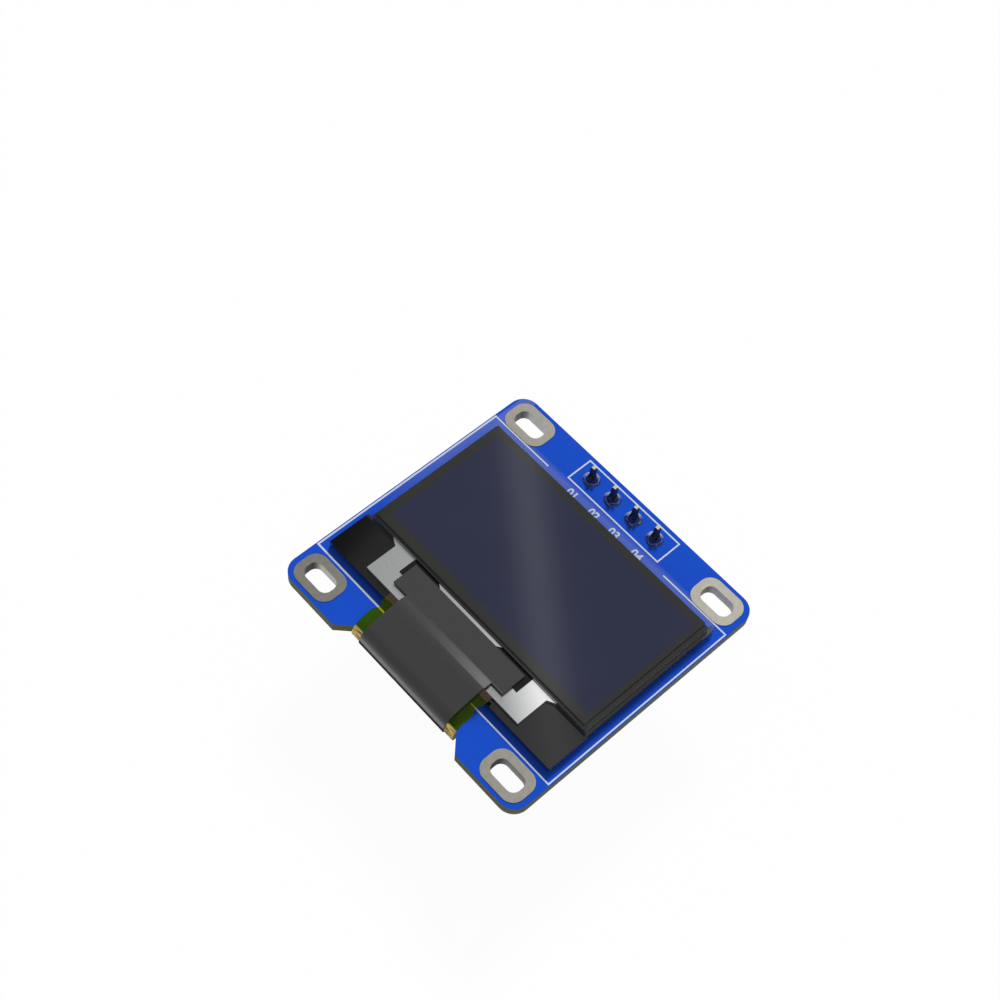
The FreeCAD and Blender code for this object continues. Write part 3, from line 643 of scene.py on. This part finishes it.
# Panel stack. Foam tape, rear glass, the sealed light-emitting layer, cap glass and a glossy
# polariser, bonded one on another.
glass_tint = (0.93, 0.96, 0.98, 1.0)
side_gloss = 0.1
# Painted light: upright faces turned to the right or the front, out of the lamp's reach, take this lighter
# tone
side_light_tone = linear(86, 86, 86)
border_soft = 0.1
seat_soft = 0.02
# The Y of the normal at which a face counts in full, or not at all, as the front edge
ahead_full, ahead_none = -0.95, -0.85


def new_clear(name, seats, seated_dark, seated_light, front_tone, border_tone, border_low, edge_gloss):
    """Clear glass: dark where it is bonded in its seats, see-through in the margin round them.

    Past border_low the seated part takes border_tone. Faces turned to the right take the painted light side
    tone, and faces turned to the front take front_tone."""
    finish, tools, wires, body = new_finish(name)
    speck = add_noise(tools, wires, 0.4, 3.0)
    x, y, _ = place_of(tools, wires)
    facing = facing_of(tools, wires)
    seated = mix_colours(tools, wires, speck.outputs["Fac"], seated_dark, seated_light)
    past = ramp(tools, wires, y, border_low * MM, (border_low + border_soft) * MM)
    seated = mix_colours(tools, wires, past, seated, border_tone)
    # Painted light: faces turned to the right take the side tone and faces turned to the front take
    # front_tone
    right_side = ramp(tools, wires, facing["X"], turn_low, turn_high)
    seated = mix_colours(tools, wires, right_side, seated, side_light_tone)
    front_side = ramp(tools, wires, facing["Y"], -turn_high, -turn_low, 1.0, 0.0)
    wires.new(mix_colours(tools, wires, front_side, seated, front_tone), body.inputs["Base Color"])
    body.inputs["Roughness"].default_value = 0.1
    body.inputs["Specular IOR Level"].default_value = 0.4
    through = tools.new("ShaderNodeBsdfTransparent")
    through.inputs["Color"].default_value = glass_tint
    gloss = tools.new("ShaderNodeBsdfGlossy")
    gloss.inputs["Roughness"].default_value = 0.05
    fresnel = tools.new("ShaderNodeFresnel")
    fresnel.inputs["IOR"].default_value = 1.35
    # The front edge mirrors more of what lies before it than the other edges do
    ahead_share = ramp(tools, wires, facing["Y"], ahead_full, ahead_none, edge_gloss, side_gloss)
    is_edge = ramp(tools, wires, levelness(tools, wires, facing), turn_low, turn_high, 1.0, 0.0)
    edge_share = times(tools, wires, is_edge, ahead_share)
    # Only what the eye or a reflection sees is mirrored, and only on the outside of the glass
    ray = tools.new("ShaderNodeLightPath")
    side = tools.new("ShaderNodeNewGeometry")
    unlit = lighter(tools, wires, ray.outputs["Is Shadow Ray"], ray.outputs["Is Diffuse Ray"],
                    side.outputs["Backfacing"])
    outside = ramp(tools, wires, unlit, 0.0, 1.0, 1.0, 0.0)
    share = times(tools, wires, lighter(tools, wires, fresnel.outputs["Fac"], edge_share), outside)
    pane = mix_shaders(tools, wires, share, through.outputs["BSDF"], gloss.outputs["BSDF"])
    bonded = mix_shaders(tools, wires, times(tools, wires, edge_share, outside), body.outputs["BSDF"],
                         gloss.outputs["BSDF"])
    parts = [times(tools, wires, within(tools, wires, x, left, right, seat_soft),
                   within(tools, wires, y, low, high, seat_soft)) for left, right, low, high in seats]
    whole = mix_shaders(tools, wires, lighter(tools, wires, *parts), pane, bonded)
    wires.new(whole, tools["Material Output"].inputs["Surface"])
    return finish


def footprint(name):
    """Left, right, low and high edge of a node in millimetres."""
    (left, low, _), (right, high, _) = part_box(name)
    return left / MM, right / MM, low / MM, high / MM


dress("panel_tape", new_plain("foam_tape", linear(16, 16, 17), linear(30, 30, 31),
                              grain=0.08, roughness=0.8, relief=0.02, detail=2.0))
glass_margin = 0.1
panel_left, panel_right, panel_low, panel_high = footprint("rear_glass")
_, cap_right, cap_low, _ = footprint("cap_glass")
seal_left, _, seal_low, seal_high = footprint("edge_seal")
ledge_seat = (panel_left - glass_margin, panel_right + glass_margin, panel_low - glass_margin, cap_low)
right_seat = (cap_right - glass_margin, panel_right - glass_margin, cap_low, panel_high)
cap_seat = (seal_left, cap_right + glass_margin, cap_low - glass_margin, seal_high)
# On the rear glass the seated strip right of the cap glass, where the cap glass shades it, takes a lighter
# border tone: painted light
dress("rear_glass", new_clear("rear_glass_clear", [footprint("panel_tape"), ledge_seat, right_seat],
                              seated_dark=linear(32, 36, 41), seated_light=linear(38, 42, 48),
                              front_tone=linear(34, 38, 44), border_tone=linear(84, 86, 90),
                              border_low=cap_low, edge_gloss=0.3))
# The cap glass's front face takes a lighter front tone: painted light
dress("cap_glass", new_clear("cap_glass_clear", [cap_seat],
                             seated_dark=linear(30, 31, 33), seated_light=linear(36, 37, 39),
                             front_tone=linear(72, 76, 84), border_tone=linear(42, 42, 41),
                             border_low=seal_low, edge_gloss=0.55))

# The glossy top film shows the dark bluish picture area and the grey border round it
polariser_finish, tools, wires, shader = new_finish("polariser_gloss")
fine = add_noise(tools, wires, 0.35, 3.0)
broad = add_noise(tools, wires, 3.0, 2.0)
lit_left, lit_right, lit_low, lit_high = -11.70, 11.97, -3.80, 8.07
lit_soft = 0.28
edge_near, edge_far = 0.02, 0.22
x, y, _ = place_of(tools, wires)
facing = facing_of(tools, wires)
lit = times(tools, wires, within(tools, wires, x, lit_left, lit_right, lit_soft),
            within(tools, wires, y, lit_low, lit_high, lit_soft))
border = mix_colours(tools, wires, fine.outputs["Fac"], linear(40, 40, 38), linear(46, 46, 44))
area = mix_colours(tools, wires, broad.outputs["Fac"], linear(34, 38, 62), linear(38, 42, 66))
front_edge = footprint("polariser")[2]
at_edge = ramp(tools, wires, y, (front_edge + edge_near) * MM, (front_edge + edge_far) * MM, 1.0, 0.0)
border = mix_colours(tools, wires, at_edge, border, linear(38, 38, 38))
# Painted light: the film's side faces turned to the right or the front take the lighter side tone
on_side = lighter(tools, wires, ramp(tools, wires, facing["X"], turn_low, turn_high),
                  ramp(tools, wires, facing["Y"], -turn_high, -turn_low, 1.0, 0.0))
border = mix_colours(tools, wires, on_side, border, side_light_tone)
wires.new(mix_colours(tools, wires, lit, border, area), shader.inputs["Base Color"])
shader.inputs["Roughness"].default_value = 0.06
shader.inputs["Specular IOR Level"].default_value = 0.4
add_bump(tools, wires, fine.outputs["Fac"], 0.0003, shader)
dress("polariser", polariser_finish)
dress("edge_seal", new_plain("edge_seal_black", linear(40, 40, 37), linear(52, 52, 48),
                             grain=0.3, roughness=0.6, detail=2.0))
dress("oled_layer", new_plain("emitting_layer", linear(36, 40, 62), linear(40, 44, 67),
                              grain=2.0, roughness=0.35, detail=2.0))


# Ledge. The rear glass runs on past the cap glass; a black coating, silver plates and the
# driver block with its strip of foil lie on it.
dress("ledge_coating", new_plain("ledge_black", linear(4, 4, 4), linear(9, 9, 8),
                                 grain=1.5, roughness=0.06, relief=0.0003, specular=0.55))
dress("driver_block", new_plain("driver_black", linear(10, 10, 10), linear(18, 18, 18),
                                grain=0.2, roughness=0.4, relief=0.002, specular=0.3))
silver_finish, tools, wires, shader = new_finish("plate_silver")
grain = add_noise(tools, wires, 0.3, 3.0)
dull = mix_colours(tools, wires, grain.outputs["Fac"], linear(204, 207, 206), linear(212, 215, 214))
# Painted highlight: the right-hand plate grows paler towards its upper right corner
highlight_corner = (0.5, 0.87, 0.0)
highlight_low, highlight_high = -3.8, -0.7
right_plate_low, right_plate_high = 4.0, 4.3
place = tools.new("ShaderNodeTexCoord")
to_corner = run_along(tools, wires, place.outputs["Object"], highlight_corner)
painted_highlight_silver = mix_colours(tools, wires, ramp(tools, wires, to_corner, highlight_low * MM, highlight_high * MM),
                     linear(176, 179, 178), linear(255, 255, 255))
on_right_plate = ramp(tools, wires, place_of(tools, wires)["X"], right_plate_low * MM,
                      right_plate_high * MM)
wires.new(mix_colours(tools, wires, on_right_plate, dull, painted_highlight_silver), shader.inputs["Base Color"])
shader.inputs["Roughness"].default_value = 0.13
shader.inputs["Metallic"].default_value = 0.84
add_bump(tools, wires, grain.outputs["Fac"], 0.0003, shader)
for side in ("left", "right"):
    dress(f"conductor_plate_{side}", silver_finish)
foil_left, foil_right = -4.25, 3.30
foil_low, foil_high = -5.38, -5.03
foil_thickness = 0.015
foil_taper = 0.86
driver_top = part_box("driver_block")[1][2] / MM
foil = add_bar(foil_left, foil_right, foil_low, foil_high, driver_top, driver_top + foil_thickness)
pick(foil, lambda face: face.normal.y < -0.5)
bpy.ops.transform.resize(value=(foil_taper, 1.0, 1.0))
bpy.ops.object.mode_set(mode="OBJECT")
settle(foil, "driver_foil", silver_finish)


# Flex. Clear amber film with a dark cover bonded on it, folded round the notch edge and
# soldered to the board's back.
film_finish, tools, wires, body = new_finish("amber_film")
highlight_streak = add_noise(tools, wires, 0.1, 2.0, (0.12, 1.0, 1.0))
y = place_of(tools, wires)["Y"]
# Brown where it is bonded on the ledge, clear yellow-green over the board, gold round the edge with painted
# highlight streaks along the fold
ledge_low, ledge_high = -9.15, -9.1
bend_low, bend_high = -12.32, -12.24
clear_share, bonded_share = 0.07, 0.92
on_ledge = ramp(tools, wires, y, ledge_low * MM, ledge_high * MM)
at_bend = ramp(tools, wires, y, bend_low * MM, bend_high * MM, 1.0, 0.0)
gold_and_highlight = mix_colours(tools, wires, ramp(tools, wires, highlight_streak.outputs["Fac"], 0.4, 0.6),
                   linear(122, 82, 8), linear(255, 228, 124))
tinted = mix_colours(tools, wires, at_bend, linear(112, 135, 62), gold_and_highlight)
wires.new(mix_colours(tools, wires, on_ledge, tinted, linear(58, 43, 28)), body.inputs["Base Color"])
body.inputs["Roughness"].default_value = 0.22
through = tools.new("ShaderNodeBsdfTransparent")
ray = tools.new("ShaderNodeLightPath")
unlit = lighter(tools, wires, ray.outputs["Is Shadow Ray"], ray.outputs["Is Diffuse Ray"])
wires.new(mix_colours(tools, wires, unlit, (0.92, 0.87, 0.06, 1.0), (1.0, 1.0, 1.0, 1.0)),
          through.inputs["Color"])
solid_share = ramp(tools, wires, lighter(tools, wires, on_ledge, at_bend), 0.0, 1.0,
                   clear_share, bonded_share)
lit_share = times(tools, wires, solid_share, ramp(tools, wires, unlit, 0.0, 1.0, 1.0, 0.0))
wires.new(mix_shaders(tools, wires, lit_share, through.outputs["BSDF"], body.outputs["BSDF"]),
          tools["Material Output"].inputs["Surface"])
dress("flex_film", film_finish)
cover_finish, tools, wires, shader = new_finish("cover_dark")
fabric = add_noise(tools, wires, 0.07, 2.0, (1.0, 0.25, 1.0))
facing = facing_of(tools, wires)
x, y, z = place_of(tools, wires)
# Painted shade: faces turned under are near black
turned_under_shade = ramp(tools, wires, facing["Z"], 0.18, 0.28, 1.0, 0.0)
top_colour = mix_colours(tools, wires, fabric.outputs["Fac"], linear(53, 53, 53), linear(64, 64, 64))
# Painted highlights: the cover is paler along its crease, most at the right, and where it rolls over the
# edge
crease_low, crease_high, crease_soft = -8.62, -7.75, 0.06
crease_left, crease_right = -4.0, 4.6
crease_rise = 0.2
roll_low, roll_high = -11.6, -11.4
to_right = ramp(tools, wires, x, crease_left * MM, crease_right * MM)
crease_highlight = times(tools, wires, within(tools, wires, y, crease_low, crease_high, crease_soft), to_right,
               to_right, ramp(tools, wires, z, 0.0, crease_rise * MM))
top_colour = mix_colours(tools, wires, crease_highlight, top_colour, linear(106, 106, 106))
roll_highlight = times(tools, wires, ramp(tools, wires, facing["Z"], 0.42, 0.76, 1.0, 0.0),
               ramp(tools, wires, y, roll_low * MM, roll_high * MM, 1.0, 0.0))
top_colour = mix_colours(tools, wires, times(tools, wires, roll_highlight, roll_highlight, roll_highlight), top_colour,
                         linear(140, 140, 140))
wires.new(mix_colours(tools, wires, turned_under_shade, top_colour, linear(4, 4, 4)), shader.inputs["Base Color"])
wires.new(ramp(tools, wires, turned_under_shade, 0.0, 1.0, 0.36, 0.9), shader.inputs["Roughness"])
shader.inputs["Specular IOR Level"].default_value = 0.4
add_bump(tools, wires, fabric.outputs["Fac"], 0.003, shader)
dress("flex_cover", cover_finish)
flat_solder = new_plain("flat_solder", linear(178, 180, 184), linear(206, 208, 210),
                        grain=0.2, roughness=0.28, relief=0.02, metallic=0.8)
dress("flex_solder", flat_solder)


# Back parts. Small ceramic chips with tinned ends, a three-lead regulator and a diode, all
# soldered flat on the back.
capacitor_finish = new_plain("capacitor_tan", linear(150, 118, 84), linear(172, 140, 104),
                             grain=0.1, roughness=0.5, relief=0.006, specular=0.4)
resistor_finish = new_plain("resistor_black", linear(22, 22, 26), linear(34, 34, 38),
                            grain=0.1, roughness=0.35, relief=0.004)
terminal_finish = new_plain("terminal_tin", linear(186, 186, 184), linear(212, 212, 210),
                            grain=0.1, roughness=0.32, relief=0.006, metallic=0.8)
moulding_finish = new_plain("moulding_black", linear(26, 26, 27), linear(38, 38, 40),
                            grain=0.06, roughness=0.6, relief=0.008, specular=0.4)
chip_count = 5
for number in range(1, chip_count + 1):
    dress(f"capacitor_{number}", capacitor_finish)
    dress(f"resistor_{number}", resistor_finish)
for name in ("capacitor_ends", "resistor_ends", "regulator_leads", "diode_leads"):
    dress(name, terminal_finish)
dress("chip_solder", flat_solder)
for name in ("regulator_body", "diode_body"):
    dress(name, moulding_finish)


# Back copper. Tinned lands under the parts' ends, tracks that show as ridges under the mask,
# and a few small plated holes.
land_proud, track_proud, track_width = 0.02, 0.016, 0.3
join_proud = 0.002
join_sides = 16
back = board_back / MM
track_finish = new_plain("mask_over_track", linear(34, 88, 200), linear(42, 96, 212),
                         grain=1.2, roughness=0.34, relief=0.004, specular=0.3)


def add_track(points):
    """Track of straight runs with round joins, given by its points in millimetres."""
    level = (back - track_proud / 2) * MM
    pieces = []
    for start, end in zip(points, points[1:]):
        run = Vector(end) - Vector(start)
        middle = (Vector(end) + Vector(start)) / 2 * MM
        bpy.ops.object.select_all(action="DESELECT")
        bpy.ops.mesh.primitive_cube_add(size=1.0, location=(middle.x, middle.y, level),
                                        rotation=(0.0, 0.0, math.atan2(run.y, run.x)))
        bpy.context.object.scale = Vector((run.length, track_width, track_proud)) * MM
        pieces.append(bpy.context.object)
    for point in points:
        bpy.ops.object.select_all(action="DESELECT")
        bpy.ops.mesh.primitive_cylinder_add(vertices=join_sides, radius=track_width / 2 * MM,
                                            depth=(track_proud + join_proud) * MM,
                                            location=(point[0] * MM, point[1] * MM, level))
        pieces.append(bpy.context.object)
    return pieces


chip_rows = [((-5.0, -2.5, 0.0, 2.5, 5.0), -5.6), ((-5.0, -2.5, 0.0, 2.5), 5.4), ((8.4,), -1.2)]
land_inner, land_outer, land_half = 0.55, 1.25, 0.5
lands = []
for chip_places, chip_y in chip_rows:
    for chip_x in chip_places:
        for side in (-1, 1):
            ends = sorted((chip_x + side * land_inner, chip_x + side * land_outer))
            lands.append(add_bar(*ends, chip_y - land_half, chip_y + land_half, back - land_proud, back))
# The regulator's three lands and the diode's two, by their left, right, low and high edges
lead_lands = [(-9.5, -9.0, -0.9, -0.3), (-7.4, -6.9, -0.9, -0.3), (-8.45, -7.95, 1.5, 2.1),
              (6.2, 6.9, 2.05, 2.75), (9.9, 10.6, 2.05, 2.75)]
for edges in lead_lands:
    lands.append(add_bar(*edges, back - land_proud, back))
settle(join(lands), "back_lands", rim_finish)
pin_middles = []
for number in range(1, pin_count + 1):
    pin_left, pin_right, _, _ = footprint(f"header_pin_{number}")
    pin_middles.append((pin_left + pin_right) / 2)
header_side = 10.5
tail_side, chip_side = -8.7, -6.1
tail_places = (-4.1, -3.4, -1.6, -0.9, 0.9, 1.6, 3.4, 4.1)
routes = [[(tail_x, tail_side), (tail_x, chip_side)] for tail_x in tail_places]
routes += [
    [(pin_middles[0], header_side), (pin_middles[0], 7.8), (-8.2, 3.4), (-8.2, 2.0)],
    [(pin_middles[1], header_side), (pin_middles[1], 6.3), (-1.6, 5.9)],
    [(pin_middles[2], header_side), (pin_middles[2], 6.3), (1.6, 5.9)],
    [(pin_middles[3], header_side), (pin_middles[3], 9.1), (10.2, 2.75)],
    [(-4.1, 4.9), (-4.1, -5.1)],
    [(-1.6, 4.9), (-1.6, 1.2), (-0.9, 0.5), (-0.9, -5.1)],
    [(0.9, 4.9), (0.9, -5.1)],
    [(3.4, 4.9), (3.4, 2.6), (4.1, 1.9), (4.1, -5.1)],
    [(-9.2, -0.9), (-9.2, -2.9), (-6.1, -6.0), (-5.9, -6.0)],
    [(-7.2, -0.9), (-7.2, -2.3)],
    [(6.5, 2.1), (6.5, -0.2), (7.4, -1.1)],
    [(9.4, -1.2), (11.2, -3.0), (11.2, -5.2)],
]
settle(join([piece for route in routes for piece in add_track(route)]), "back_tracks",
       track_finish)
hole_radius, ring_radius = 0.15, 0.3
rim_sink, rim_overlap = 0.012, 0.01
hole_sides = 24
hole_places = [(-7.2, -2.5), (11.2, -5.4), (0.0, -2.2), (2.5, 1.4), (-2.5, -2.8), (-11.3, 4.4),
               (11.3, 6.4), (6.6, -7.0), (-6.8, -7.2)]
rings, plugs = [], []
for hole_x, hole_y in hole_places:
    middle = Vector((hole_x, hole_y, back - land_proud / 2)) * MM
    for radius, group in ((ring_radius, rings), (hole_radius, plugs)):
        bpy.ops.object.select_all(action="DESELECT")
        bpy.ops.mesh.primitive_cylinder_add(vertices=hole_sides, radius=radius * MM,
                                            depth=land_proud * MM, location=middle)
        disc = bpy.context.object
        pick(disc, lambda face: face.normal.z < -0.5)
        bpy.ops.mesh.inset(thickness=(radius - hole_radius + rim_overlap) * MM)
        bpy.ops.transform.translate(value=(0.0, 0.0, rim_sink * MM))
        bpy.ops.object.mode_set(mode="OBJECT")
        group.append(disc)
settle(join(rings), "hole_rings", rim_finish)
for plug in plugs:
    plug.location.z += rim_sink / 2 * MM
settle(join(plugs), "hole_plugs", header_finish)
